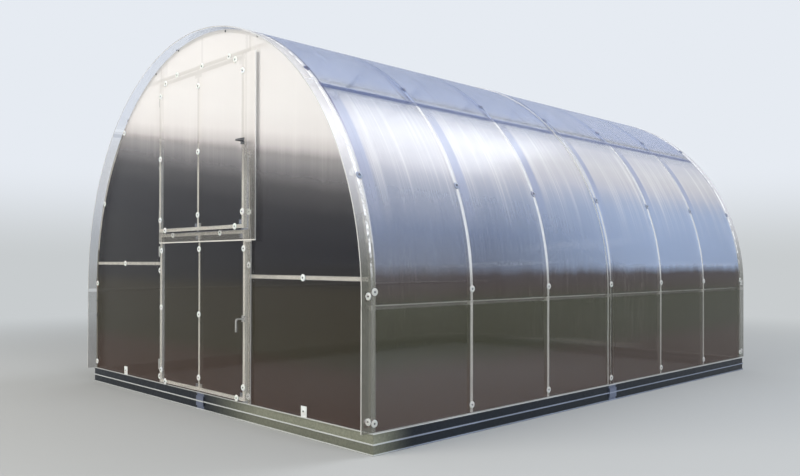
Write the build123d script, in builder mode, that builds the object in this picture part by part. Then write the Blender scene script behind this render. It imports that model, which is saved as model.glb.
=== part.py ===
# Tunnel greenhouse: seven bent square tubes on a folded steel base, closed with
# twin-wall polycarbonate sheet, with a two-leaf door in each gable.
# Millimetres. The origin is the middle of the footprint on the underside of the
# base, X across the tunnel, Y along it from the front gable, Z up.
import os
from math import cos, radians, sin

from build123d import *

os.makedirs("parts", exist_ok=True)

# Tunnel
tunnel_width = 3000.0  # outside the tubes of one arch
tunnel_length = 4000.0  # between the middles of the two end arches
arch_count = 7
leg_height = 600.0  # straight part of an arch, above the base
tube = 20.0  # side of every square tube
joint_gap = 0.3  # left between two pieces that are pushed together

# Base
base_height = 100.0
base_side_ledge = 25.0  # base outside the tubes, along the sides
base_end_ledge = 12.0  # base outside the tubes, at the gables
base_steel = 2.0
base_top_flange = 52.0
base_bottom_flange = 30.0
base_bead_height = 7.0  # outward bead at the top, the middle and the bottom
base_bead_depth = 5.0
splice_width = 80.0
splice_height = 58.0
splice_steel = 2.0

# Long tubes inside the arches
side_rail_height = 560.0  # middle of the side rail, above the base
purlin_angle = 45.0  # up the bow from the top of the leg
clamp_width = 44.0
clamp_steel = 2.0
clamp_ear = 14.0

# Sheet
sheet = 6.0  # thickness of the twin-wall sheet
roof_overhang = 76.0  # past the middle of the end arches
roof_lap = 50.0  # one roof sheet over the other

# Gable frame
jamb_offset = 510.0  # middle of a door jamb from the middle of the gable
crown_to_lintel = 175.0  # top of the bows to the top of the lintel
left_rail_height = 755.0
right_rail_height = 687.0  # the front one on the right sits lower
seam_place = 472.0  # seam over the door, from the middle of the gable
sheet_edge_back = 5.0  # gable sheets back from the doorway edge of the jambs
tab_width = 46.0
tab_height = 54.0
tab_steel = 2.0

# Door
door_side_gap = 12.0  # stile to jamb
door_foot_gap = 10.0  # bottom tube to the base
door_head_gap = 20.0  # top tube to the lintel
leaf_gap = 10.0  # lower leaf to upper leaf
lower_leaf_height = 930.0
door_clearance = 8.0  # door sheet to gable sheet
upper_leaf_step = 10.0  # upper leaf in front of the lower one
lower_sheet_lip = 5.0  # lower sheet below its leaf
upper_sheet_drop = 70.0  # upper sheet hanging over the lower leaf
upper_sheet_lip = 8.0  # upper sheet above its leaf
hinge_side_inset = 4.0  # door sheet back from the edge of the hinge stile
lower_sheet_flap = 56.0  # lower sheet past the edge of the lock stile
upper_sheet_flap = 112.0  # upper sheet past the edge of the lock stile

# Hinges and handles
hinge_barrel = 10.0
hinge_pin = 5.0
hinge_pin_clearance = 0.3
hinge_half = 32.0  # height of one half of a hinge
hinge_plate = 3.0
hinge_lift = 1.0  # leaf half above the jamb half
jamb_plate_depth = 30.0
leaf_plate_depth = 15.0
jamb_plate_clearance = 0.5  # plate on the jamb to the hinge axis
hinge_end_distance = 110.0  # end of a leaf to the middle of its hinge
handle_bar = 8.0
handle_reach = 46.0
handle_leg = 70.0
handle_bend = 12.0
handle_plate = 34.0
handle_plate_steel = 2.0
lower_handle_rise = 447.0  # from the foot of its leaf
upper_handle_rise = 470.0

# Places worked out from the sizes above
half_width = tunnel_width / 2
half_length = tunnel_length / 2
arch_spacing = tunnel_length / (arch_count - 1)
spring_height = base_height + leg_height
tube_face = tube / 2  # gable planes are measured out from the middle of the end arch
sheet_face = tube_face + sheet
frame_end = half_length + tube_face

jamb_inside = jamb_offset - tube / 2
jamb_outside = jamb_offset + tube / 2
crown_height = spring_height + half_width
lintel_top = crown_height - crown_to_lintel
lintel_bottom = lintel_top - tube

stile_outside = jamb_inside - door_side_gap
lower_leaf_bottom = base_height + door_foot_gap
lower_leaf_top = lower_leaf_bottom + lower_leaf_height
upper_leaf_bottom = lower_leaf_top + leaf_gap
upper_leaf_top = lintel_bottom - door_head_gap
lower_leaf_face = sheet_face + door_clearance
upper_leaf_face = lower_leaf_face + upper_leaf_step

hinge_axis_x = -(jamb_inside - hinge_plate - jamb_plate_clearance)
hinge_axis_out = lower_leaf_face + sheet

# Base: a rolled profile with three beads, mitred at the corners
base_half_width = half_width + base_side_ledge
base_half_length = frame_end + base_end_ledge


def base_profile():
    # Section of a beam: X is outward from the outer face of the beads, Y is up.
    middle = base_height / 2
    half_bead = base_bead_height / 2
    slope = base_bead_depth / 2
    back = -base_bead_depth
    with BuildLine() as skin:
        Polyline(
            (-base_top_flange, base_height),
            (0, base_height),
            (0, base_height - base_bead_height),
            (back, base_height - base_bead_height - slope),
            (back, middle + half_bead + slope),
            (0, middle + half_bead),
            (0, middle - half_bead),
            (back, middle - half_bead - slope),
            (back, base_bead_height + slope),
            (0, base_bead_height),
            (0, 0),
            (-base_bottom_flange, 0),
        )
        offset(amount=base_steel, side=Side.RIGHT)
    make_face(skin.edges())


def finish(piece, name):
    piece.part.label = name
    export_step(piece.part, f"parts/{name}.step")


def build_base_beam(name, half_run, out, towards):
    # towards is the outward direction of the beam: (1, 0) is +X, (0, 1) is +Y.
    across = Vector(towards[0], towards[1], 0)
    along = Vector(0, 0, 1).cross(across)
    with BuildPart() as beam:
        with BuildSketch(Plane(across * out, x_dir=across, z_dir=across.cross(Vector(0, 0, 1)))):
            base_profile()
        extrude(amount=half_run, both=True)
        for end in (-1, 1):
            corner = across * out + along * (end * half_run)
            split(bisect_by=Plane(corner, z_dir=along * end - across), keep=Keep.BOTTOM)
        with BuildSketch(Plane(across * (out + joint_gap), x_dir=along, z_dir=across)):
            with Locations((0, base_height / 2)):
                Rectangle(splice_width, splice_height)
        extrude(amount=splice_steel)
    finish(beam, name)


build_base_beam("base_front", base_half_width, base_half_length, (0, -1))
build_base_beam("base_rear", base_half_width, base_half_length, (0, 1))
build_base_beam("base_left", base_half_length, base_half_width, (-1, 0))
build_base_beam("base_right", base_half_length, base_half_width, (1, 0))


def tunnel_face(radius, foot, mode=Mode.ADD):
    # Half round above the straight legs, closed along its foot.
    with BuildLine() as edge:
        Line((radius, foot), (radius, spring_height))
        CenterArc((0, spring_height), radius, 0, 180)
        Line((-radius, spring_height), (-radius, foot))
        Line((-radius, foot), (radius, foot))
    make_face(edge.edges(), mode=mode)


# Arches: a bent bow pushed onto a leg at each end
arch_places = [index * arch_spacing - half_length for index in range(arch_count)]

for number, place in enumerate(arch_places, start=1):
    with BuildPart() as arch:
        with BuildSketch(Plane.XY.offset(spring_height)):
            with Locations((half_width - tube / 2, place)):
                Rectangle(tube, tube)
        revolve(axis=Axis((0, place, spring_height), (0, -1, 0)), revolution_arc=180)
        with BuildSketch(Plane.XY.offset(base_height)):
            for side in (-1, 1):
                with Locations((side * (half_width - tube / 2), place)):
                    Rectangle(tube, tube)
        extrude(amount=leg_height - joint_gap)
    finish(arch, f"arch_{number}")


arch_inside = half_width - tube - joint_gap


def across_plane(side, angle, height):
    # Section plane of a long tube: X points in from the arch, Y runs along the arch.
    inward = Vector(-side * cos(radians(angle)), 0, -sin(radians(angle)))
    seat = Vector(0, -frame_end, height) - inward * arch_inside
    return Plane(seat, x_dir=inward, z_dir=(0, 1, 0))


rail_height = base_height + side_rail_height
long_tubes = {
    "side_rail_left": (-1, 0, rail_height),
    "side_rail_right": (1, 0, rail_height),
    "purlin_left": (-1, purlin_angle, spring_height),
    "purlin_right": (1, purlin_angle, spring_height),
}

for name, seat in long_tubes.items():
    with BuildPart() as long_tube:
        with BuildSketch(across_plane(*seat)):
            with Locations((tube / 2, 0)):
                Rectangle(tube, tube)
        extrude(amount=2 * frame_end)
    finish(long_tube, name)

# Clamps: a folded strap holds each long tube to each arch
clamp_hole = tube / 2 + joint_gap
clamp_shoulder = clamp_hole + clamp_steel

with BuildPart() as tube_clamps:
    for seat in long_tubes.values():
        for place in arch_places:
            start = max(place - clamp_width / 2, joint_gap - frame_end)
            stop = min(place + clamp_width / 2, frame_end - joint_gap)
            with BuildSketch(across_plane(*seat).offset(frame_end + start)):
                with Locations((clamp_steel / 2, 0)):
                    Rectangle(clamp_steel, 2 * (clamp_shoulder + clamp_ear))
                with Locations(((tube + joint_gap + clamp_steel) / 2, 0)):
                    Rectangle(tube + joint_gap + clamp_steel, 2 * clamp_shoulder)
                with Locations(((tube + joint_gap) / 2, 0)):
                    Rectangle(tube + joint_gap, 2 * clamp_hole, mode=Mode.SUBTRACT)
            extrude(amount=stop - start)
finish(tube_clamps, "tube_clamps")

# Roof: two sheets bent over the arches, the front one lapped over the rear one
roof_inside = half_width + joint_gap
roof_end = half_length + roof_overhang
sheet_foot = base_height + joint_gap
lap_inside = roof_inside + sheet + joint_gap


def roof_band(inside, outside):
    tunnel_face(outside, sheet_foot)
    tunnel_face(inside, sheet_foot, mode=Mode.SUBTRACT)


with BuildPart() as roof_sheet_rear:
    with BuildSketch(Plane.XZ.offset(roof_lap / 2)):
        roof_band(roof_inside, roof_inside + sheet)
    extrude(amount=-(roof_lap / 2 + roof_end))
finish(roof_sheet_rear, "roof_sheet_rear")

lap_edge = -(roof_lap / 2 + joint_gap)
with BuildPart() as roof_sheet_front:
    with BuildSketch(Plane.XZ.offset(roof_end)):
        roof_band(roof_inside, roof_inside + sheet)
    extrude(amount=-(roof_end + lap_edge))
    with BuildSketch(Plane.XZ.offset(sheet - lap_edge)):
        roof_band(roof_inside, lap_inside + sheet)
    extrude(amount=-sheet)
    with BuildSketch(Plane.XZ.offset(-lap_edge)):
        roof_band(lap_inside, lap_inside + sheet)
    extrude(amount=-(roof_lap + joint_gap))
finish(roof_sheet_front, "roof_sheet_front")


# Gables. X is to the right and Y is up as seen from outside, out is the distance
# outward from the middle of the end arch.
def gable_plane(end, out):
    return Plane((0, end * (half_length + out), 0), x_dir=(-end, 0, 0), z_dir=(0, end, 0))


def gable_box(left, right, bottom, top):
    with Locations(((left + right) / 2, (bottom + top) / 2)):
        Rectangle(right - left, top - bottom)


def build_upright(name, end, middle):
    # Door jamb, with the short tube that carries its line on from the lintel to the bow.
    with BuildPart() as upright:
        with BuildSketch(gable_plane(end, -tube / 2)):
            gable_box(middle - tube / 2, middle + tube / 2, base_height, crown_height)
            tunnel_face(arch_inside, base_height, mode=Mode.INTERSECT)
        extrude(amount=tube)
        with BuildSketch(gable_plane(end, -tube / 2)):
            gable_box(middle - tube, middle + tube, lintel_bottom - joint_gap, lintel_top + joint_gap)
        extrude(amount=tube, mode=Mode.SUBTRACT)
    finish(upright, name)


def build_lintel(name, end):
    with BuildPart() as lintel:
        with BuildSketch(gable_plane(end, -tube / 2)):
            gable_box(-half_width, half_width, lintel_bottom, lintel_top)
            tunnel_face(arch_inside, base_height, mode=Mode.INTERSECT)
        extrude(amount=tube)
    finish(lintel, name)


def build_gable_rail(name, end, side, height):
    middle = base_height + height
    left, right = sorted((side * (jamb_outside + joint_gap), side * half_width))
    with BuildPart() as rail:
        with BuildSketch(gable_plane(end, -tube / 2)):
            gable_box(left, right, middle - tube / 2, middle + tube / 2)
            tunnel_face(arch_inside, base_height, mode=Mode.INTERSECT)
        extrude(amount=tube)
    finish(rail, name)


def build_gable_sheet(name, end, pieces):
    # pieces are boxes (left, right, bottom) that run up under the roof sheet
    with BuildPart() as gable_sheet:
        with BuildSketch(gable_plane(end, tube_face)):
            for left, right, bottom in pieces:
                gable_box(left, right, bottom, crown_height)
            tunnel_face(half_width, sheet_foot, mode=Mode.INTERSECT)
        extrude(amount=sheet)
    finish(gable_sheet, name)


hinge_sheet_edge = -(jamb_inside + sheet_edge_back)
lock_sheet_edge = jamb_inside + sheet_edge_back
over_door_bottom = lintel_bottom + joint_gap

for end, label, lock_rail_height in ((-1, "front", right_rail_height), (1, "rear", left_rail_height)):
    build_upright(f"{label}_jamb_hinge_side", end, -jamb_offset)
    build_upright(f"{label}_jamb_lock_side", end, jamb_offset)
    build_lintel(f"{label}_lintel", end)
    build_gable_rail(f"{label}_rail_hinge_side", end, -1, left_rail_height)
    build_gable_rail(f"{label}_rail_lock_side", end, 1, lock_rail_height)
    build_gable_sheet(f"{label}_sheet_hinge_side", end, [(-half_width, hinge_sheet_edge, sheet_foot)])
    beside_door = (lock_sheet_edge, half_width, sheet_foot)
    above_lintel = (seam_place + joint_gap, half_width, over_door_bottom)
    build_gable_sheet(f"{label}_sheet_lock_side", end, [beside_door, above_lintel])
    over_door = (hinge_sheet_edge + joint_gap, seam_place, over_door_bottom)
    build_gable_sheet(f"{label}_sheet_over_door", end, [over_door])

# Tabs that hold the foot of the gable sheets to the base
tab_place = (jamb_offset + half_width) / 2

with BuildPart() as base_tabs:
    for end in (-1, 1):
        for side in (-1, 1):
            left = side * tab_place - tab_width / 2
            with BuildSketch(gable_plane(end, sheet_face)):
                gable_box(left, left + tab_width, base_height, base_height + tab_height)
            extrude(amount=tab_steel)
finish(base_tabs, "base_tabs")


# Door leaves: a welded frame with a middle bar, and a sheet screwed on its face.
# A leaf is (face, bottom, top, foot of its sheet, head of its sheet, flap).
lower_leaf = (
    lower_leaf_face,
    lower_leaf_bottom,
    lower_leaf_top,
    lower_leaf_bottom - lower_sheet_lip,
    lower_leaf_top,
    lower_sheet_flap,
)
upper_leaf = (
    upper_leaf_face,
    upper_leaf_bottom,
    upper_leaf_top,
    upper_leaf_bottom - upper_sheet_drop,
    upper_leaf_top + upper_sheet_lip,
    upper_sheet_flap,
)


def leaf_frame(end, leaf):
    face, bottom, top = leaf[:3]
    with BuildPart() as frame:
        with BuildSketch(gable_plane(end, face - tube)):
            gable_box(-stile_outside, stile_outside, bottom, top)
            with Locations((0, (bottom + top) / 2)):
                with GridLocations(stile_outside - tube / 2, 0, 2, 1):
                    Rectangle(stile_outside - 1.5 * tube, top - bottom - 2 * tube, mode=Mode.SUBTRACT)
        extrude(amount=tube)
    return frame.part


def leaf_sheet(end, leaf):
    face, foot, head, flap = leaf[0], *leaf[3:]
    with BuildPart() as skin:
        with BuildSketch(gable_plane(end, face)):
            gable_box(hinge_side_inset - stile_outside, stile_outside + flap, foot, head)
        extrude(amount=sheet)
    return skin.part


def handle(end, leaf, rise, leg):
    # A bent bar stands out of a small plate on the lock stile. leg is the direction
    # of its free end as seen from outside, (right, up).
    face, bottom = leaf[:2]
    stile_middle = stile_outside - tube / 2
    foot = Vector(-end * stile_middle, end * (half_length + face + sheet), bottom + rise)
    outward = Vector(0, end, 0)
    elbow = foot + outward * handle_reach
    tip = elbow + Vector(-end * leg[0], 0, leg[1]) * handle_leg
    with BuildPart() as piece:
        with BuildSketch(Plane(foot, x_dir=(-end, 0, 0), z_dir=outward)):
            Rectangle(handle_plate, handle_plate)
        extrude(amount=handle_plate_steel)
        with BuildLine():
            FilletPolyline(foot, elbow, tip, radius=handle_bend)
        with BuildSketch(Plane(foot, x_dir=(-end, 0, 0), z_dir=outward)):
            Rectangle(handle_bar, handle_bar)
        sweep()
    return piece.part


def hinge_plane(end, height):
    # X to the right as seen from outside, Y inward, from the hinge axis
    place = (-end * hinge_axis_x, end * (half_length + hinge_axis_out), height)
    return Plane(place, x_dir=(-end, 0, 0), z_dir=(0, 0, 1))


jamb_side = -jamb_inside - hinge_axis_x
stile_side = -stile_outside - hinge_axis_x


def hinge_jamb_half(end, height):
    # Barrel and pin on a plate welded to the inner side of the jamb
    with BuildPart() as half:
        with BuildSketch(hinge_plane(end, height - hinge_half)):
            Circle(hinge_barrel / 2)
            with Locations((jamb_side + hinge_plate / 2, jamb_plate_depth / 2)):
                Rectangle(hinge_plate, jamb_plate_depth)
        extrude(amount=hinge_half)
        with BuildSketch(hinge_plane(end, height)):
            Circle(hinge_pin / 2)
        extrude(amount=hinge_half)
    return half.part


def hinge_leaf_half(end, height):
    # Barrel that drops on the pin, on a plate welded to the stile
    with BuildPart() as half:
        with BuildSketch(hinge_plane(end, height + hinge_lift)):
            Circle(hinge_barrel / 2)
            with Locations((stile_side / 2, 0)):
                Rectangle(stile_side, hinge_plate)
            with Locations((stile_side - hinge_plate / 2, (leaf_plate_depth - hinge_plate / 2) / 2)):
                Rectangle(hinge_plate, leaf_plate_depth + hinge_plate / 2)
            Circle(hinge_pin / 2 + hinge_pin_clearance, mode=Mode.SUBTRACT)
        extrude(amount=hinge_half)
    return half.part


def closed_hinge(end, height):
    # The same hinge on the door that stays shut, as one piece
    with BuildPart() as hinge:
        with BuildSketch(hinge_plane(end, height - hinge_half)):
            Circle(hinge_barrel / 2)
            with Locations((jamb_side + hinge_plate / 2, jamb_plate_depth / 2)):
                Rectangle(hinge_plate, jamb_plate_depth)
        extrude(amount=2 * hinge_half + hinge_lift)
        with BuildSketch(hinge_plane(end, height + hinge_lift)):
            with Locations((stile_side / 2, 0)):
                Rectangle(stile_side, hinge_plate)
            with Locations((stile_side - hinge_plate / 2, (leaf_plate_depth - hinge_plate / 2) / 2)):
                Rectangle(hinge_plate, leaf_plate_depth + hinge_plate / 2)
        extrude(amount=hinge_half)
    return hinge.part


hinge_heights = [
    lower_leaf_bottom + hinge_end_distance,
    lower_leaf_top - hinge_end_distance,
    upper_leaf_bottom + hinge_end_distance,
    upper_leaf_top - hinge_end_distance,
]
handle_places = [(lower_leaf, lower_handle_rise, (0, -1)), (upper_leaf, upper_handle_rise, (1, 0))]

with BuildPart() as front_lower_leaf_frame:
    add(leaf_frame(-1, lower_leaf))
finish(front_lower_leaf_frame, "front_lower_leaf_frame")

with BuildPart() as front_upper_leaf_frame:
    add(leaf_frame(-1, upper_leaf))
finish(front_upper_leaf_frame, "front_upper_leaf_frame")

with BuildPart() as front_lower_leaf_sheet:
    add(leaf_sheet(-1, lower_leaf))
finish(front_lower_leaf_sheet, "front_lower_leaf_sheet")

with BuildPart() as front_upper_leaf_sheet:
    add(leaf_sheet(-1, upper_leaf))
finish(front_upper_leaf_sheet, "front_upper_leaf_sheet")

with BuildPart() as front_door_handles:
    for leaf, height, leg in handle_places:
        add(handle(-1, leaf, height, leg))
finish(front_door_handles, "front_door_handles")

with BuildPart() as front_hinge_pins:
    for height in hinge_heights:
        add(hinge_jamb_half(-1, height))
finish(front_hinge_pins, "front_hinge_pins")

with BuildPart() as front_hinge_barrels:
    for height in hinge_heights:
        add(hinge_leaf_half(-1, height))
finish(front_hinge_barrels, "front_hinge_barrels")

with BuildPart() as rear_leaf_frames:
    for leaf in (lower_leaf, upper_leaf):
        add(leaf_frame(1, leaf))
finish(rear_leaf_frames, "rear_leaf_frames")

with BuildPart() as rear_leaf_sheets:
    for leaf in (lower_leaf, upper_leaf):
        add(leaf_sheet(1, leaf))
finish(rear_leaf_sheets, "rear_leaf_sheets")

with BuildPart() as rear_door_fittings:
    for leaf, height, leg in handle_places:
        add(handle(1, leaf, height, leg))
    for height in hinge_heights:
        add(closed_hinge(1, height))
finish(rear_door_fittings, "rear_door_fittings")
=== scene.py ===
from functools import partial
from math import cos, pi, radians, sin

import bmesh
import bpy
from mathutils import Matrix, Vector


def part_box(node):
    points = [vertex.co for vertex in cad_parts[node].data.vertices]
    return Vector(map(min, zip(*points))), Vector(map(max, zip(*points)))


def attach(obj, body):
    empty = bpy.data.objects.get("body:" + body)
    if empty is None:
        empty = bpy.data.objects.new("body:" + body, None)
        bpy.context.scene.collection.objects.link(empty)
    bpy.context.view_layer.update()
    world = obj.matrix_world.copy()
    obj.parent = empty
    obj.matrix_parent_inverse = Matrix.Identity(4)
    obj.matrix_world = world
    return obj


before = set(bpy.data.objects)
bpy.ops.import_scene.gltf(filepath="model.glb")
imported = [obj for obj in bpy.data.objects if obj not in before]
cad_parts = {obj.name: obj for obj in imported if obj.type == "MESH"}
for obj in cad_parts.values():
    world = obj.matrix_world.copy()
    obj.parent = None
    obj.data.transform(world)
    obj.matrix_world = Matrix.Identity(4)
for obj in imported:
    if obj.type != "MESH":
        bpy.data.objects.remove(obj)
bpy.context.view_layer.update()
scene = bpy.context.scene
mm = 0.001
print("frame loaded:", len(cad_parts), "nodes")

# The greenhouse's own sizes, which the pieces below are worked out from
tunnel = {
    "halfWidth": 1500 * mm,  # outside of the bows
    "halfLength": 2000 * mm,  # middle of the end arches
    "archCount": 7,
    "bayShift": 20,  # whole bays that are added to a place, so that its share of a bay is positive
    "baseTop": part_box("base_front")[1].z,
    "springHeight": 700 * mm,  # where the half-round bow starts
    "tube": 20 * mm,
    "roofInside": 1500.3 * mm,
    "roofEnd": 2076 * mm,
    "sheet": 6 * mm,
    "lap": 6.3 * mm,  # how far the upper sheet stands out over the lower one
    "lapHalf": 25 * mm,  # half the width of that lap
    "gableFace": 16 * mm,  # outer face of the gable sheets, out from the end arch
}
archStep = 2 * tunnel["halfLength"] / (tunnel["archCount"] - 1)
archPlaces = [index * archStep - tunnel["halfLength"] for index in range(tunnel["archCount"])]


def middleHeight(node):
    low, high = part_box(node)
    return (low.z + high.z) / 2


def linear(hexCode, alpha=1.0):
    channels = [int(hexCode[i:i + 2], 16) / 255 for i in (1, 3, 5)]
    return [c / 12.92 if c <= 0.04045 else ((c + 0.055) / 1.055) ** 2.4 for c in channels] + [alpha]


def addNode(tree, kind, *inputs, **settings):
    # Inputs come in order, or by name in a dictionary: values, sockets, or nodes for their first output
    prefix = "" if kind.startswith(("Geometry", "Function", "NodeGroup")) else "ShaderNode"
    node = tree.nodes.new(prefix + kind)
    for name, value in settings.items():
        setattr(node, name, value)
    given = dict(enumerate(inputs))
    if inputs and isinstance(inputs[-1], dict):
        given.update(given.pop(len(inputs) - 1))
    live = [socket for socket in node.inputs if socket.enabled]
    for key, value in given.items():
        socket = live[key] if isinstance(key, int) else next(one for one in live if one.name == key)
        if isinstance(value, bpy.types.Node):
            value = next(output for output in value.outputs if output.enabled)
        if isinstance(value, bpy.types.NodeSocket):
            tree.links.new(value, socket)
        else:
            socket.default_value = value
    return node


def combine(add, operation, parts):
    # One value from several tests or shares, two at a time
    whole = parts[0]
    for part in parts[1:]:
        whole = add("Math", whole, part, operation=operation)
    return whole


smooth = {"interpolation_type": "SMOOTHSTEP"}  # for a Map Range that eases in and out


def between(add, along, heights):
    # 1 between the middle two of four places, fading to 0 at the outer two
    foot, above, below, head = heights
    rise = add("MapRange", along, foot, above, **smooth)
    fall = add("MapRange", along, head, below, **smooth)
    return add("Math", rise, fall, operation="MULTIPLY")


def tint(add, colour, mask, share, hexCode):
    # Mixes in a share of another colour where the mask is 1
    amount = add("Math", mask, share, operation="MULTIPLY")
    return add("Mix", amount, colour, linear(hexCode), data_type="RGBA")


def newMaterial(name):
    material = bpy.data.materials.new(name)
    material.use_nodes = True
    material.node_tree.nodes.clear()
    add = partial(addNode, material.node_tree)
    spot = add("TexCoord").outputs
    return material, add, spot["Object"], spot["Normal"]


def placeObject(name, data):
    placed = bpy.data.objects.new(name, data)
    scene.collection.objects.link(placed)
    return placed


def meshOf(name, shape):
    mesh = bpy.data.meshes.new(name)
    shape.to_mesh(mesh)
    shape.free()
    return mesh


# Camera, at the photograph's place and angle
view = {
    "place": (4.061, -4.287, 0.859),
    "yaw": radians(-45.28),  # from +Y, to the left
    "pitch": radians(0.317),
    "roll": radians(0.138),
    "focalPixels": 763.26,
    "frame": (800, 476),
    "middle": (413.10, 259.20),  # pixel on the lens axis
    "sensor": 36,
    "reach": 200,  # metres
}


def makeCamera():
    yaw, pitch, roll = view["yaw"], view["pitch"], view["roll"]
    forward = Vector((sin(yaw) * cos(pitch), cos(yaw) * cos(pitch), sin(pitch)))
    level = Vector((cos(yaw), -sin(yaw), 0))
    upright = level.cross(forward)
    right = level * cos(roll) + upright * sin(roll)
    up = upright * cos(roll) - level * sin(roll)
    width, height = view["frame"]
    data = bpy.data.cameras.new("camera")
    data.sensor_width = view["sensor"]
    data.lens = view["focalPixels"] * data.sensor_width / width
    data.shift_x = (width / 2 - view["middle"][0]) / width
    data.shift_y = (view["middle"][1] - height / 2) / width
    data.clip_end = view["reach"]
    camera = placeObject("camera", data)
    rows = [(right[i], up[i], -forward[i], view["place"][i]) for i in range(3)]
    camera.matrix_world = Matrix(rows + [(0, 0, 0, 1)])
    scene.camera = camera


makeCamera()
print("camera made")

# Studio: pale floor, a backdrop that pales upward, and soft lamps
studio = {
    "floorColour": "#BEC0BF",
    "horizonColour": "#C8CCCE",
    "skyColour": "#E6EBF2",
    "skyRise": 0.12,  # how far up the backdrop the sky's colour is whole
    "floorReach": 60.0,
    "fade": (3.0, 9.0),  # the floor turns into the backdrop between these distances
    "ambient": ("#F4F7FB", 0.5),
    "lamps": {
        # name: (place, aim, width, height, watts, colour)
        "key": ((-1.5, -10.0, 4.6), (0, -1, 1.0), 6.0, 4.0, 640, "#FFF8EE"),
        "back": ((3.0, 5.5, 8.6), (1.2, -1.0, 1.4), 4.0, 4.0, 330, "#F5F8FF"),
        "side": ((9.5, -2.5, 4.0), (1.0, 0, 0.8), 6.0, 3.5, 480, "#F2F6FF"),
    },
}


def makeStudio():
    world = bpy.data.worlds.new("studio")
    scene.world = world
    world.use_nodes = True
    world.node_tree.nodes.clear()
    add = partial(addNode, world.node_tree)
    horizon, sky = linear(studio["horizonColour"]), linear(studio["skyColour"])
    height = add("SeparateXYZ", add("TexCoord").outputs["Generated"]).outputs["Z"]
    rise = add("MapRange", height, 0, studio["skyRise"], **smooth)
    seen = add("Mix", rise, horizon, sky, data_type="RGBA")
    path = add("LightPath").outputs
    rays = [path[f"Is {kind} Ray"] for kind in ("Camera", "Glossy", "Transmission")]
    shown = combine(add, "MAXIMUM", rays)
    backdrop = add("Background", seen, 1.0)
    colour, strength = studio["ambient"]
    ambient = add("Background", linear(colour), strength)
    add("OutputWorld", add("MixShader", shown, ambient, backdrop))

    material, add, place, _ = newMaterial("paleStudioFloor")
    away = add("VectorMath", place, operation="LENGTH")
    fade = add("MapRange", away, *studio["fade"], **smooth)
    paper = add("BsdfDiffuse", linear(studio["floorColour"]))
    far = add("Emission", horizon, 1.0)
    add("OutputMaterial", add("MixShader", fade, paper, far))
    mesh = bpy.data.meshes.new("floor")
    reach = studio["floorReach"]
    mesh.from_pydata([(-reach, -reach, 0), (reach, -reach, 0), (reach, reach, 0), (-reach, reach, 0)],
                     [], [(0, 1, 2, 3)])
    mesh.materials.append(material)
    placeObject("floor", mesh)

    for name, (place, aim, width, height, watts, colour) in studio["lamps"].items():
        data = bpy.data.lights.new(name, "AREA")
        data.shape = "RECTANGLE"
        data.size = width
        data.size_y = height
        data.energy = watts
        data.color = linear(colour)[:3]
        lamp = placeObject(name, data)
        lamp.visible_camera = False
        lamp.location = place
        lamp.rotation_euler = (Vector(aim) - Vector(place)).to_track_quat("-Z", "Y").to_euler()


makeStudio()
scene.view_settings.view_transform = "Standard"
scene.cycles.use_denoising = True
scene.cycles.max_bounces = 12
scene.cycles.transmission_bounces = 10
scene.cycles.diffuse_bounces = 3
scene.cycles.glossy_bounces = 4
scene.cycles.transparent_max_bounces = 48  # a line of sight goes through many skins and ribs
scene.cycles.caustics_reflective = False
scene.cycles.caustics_refractive = False
print("studio made")


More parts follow.
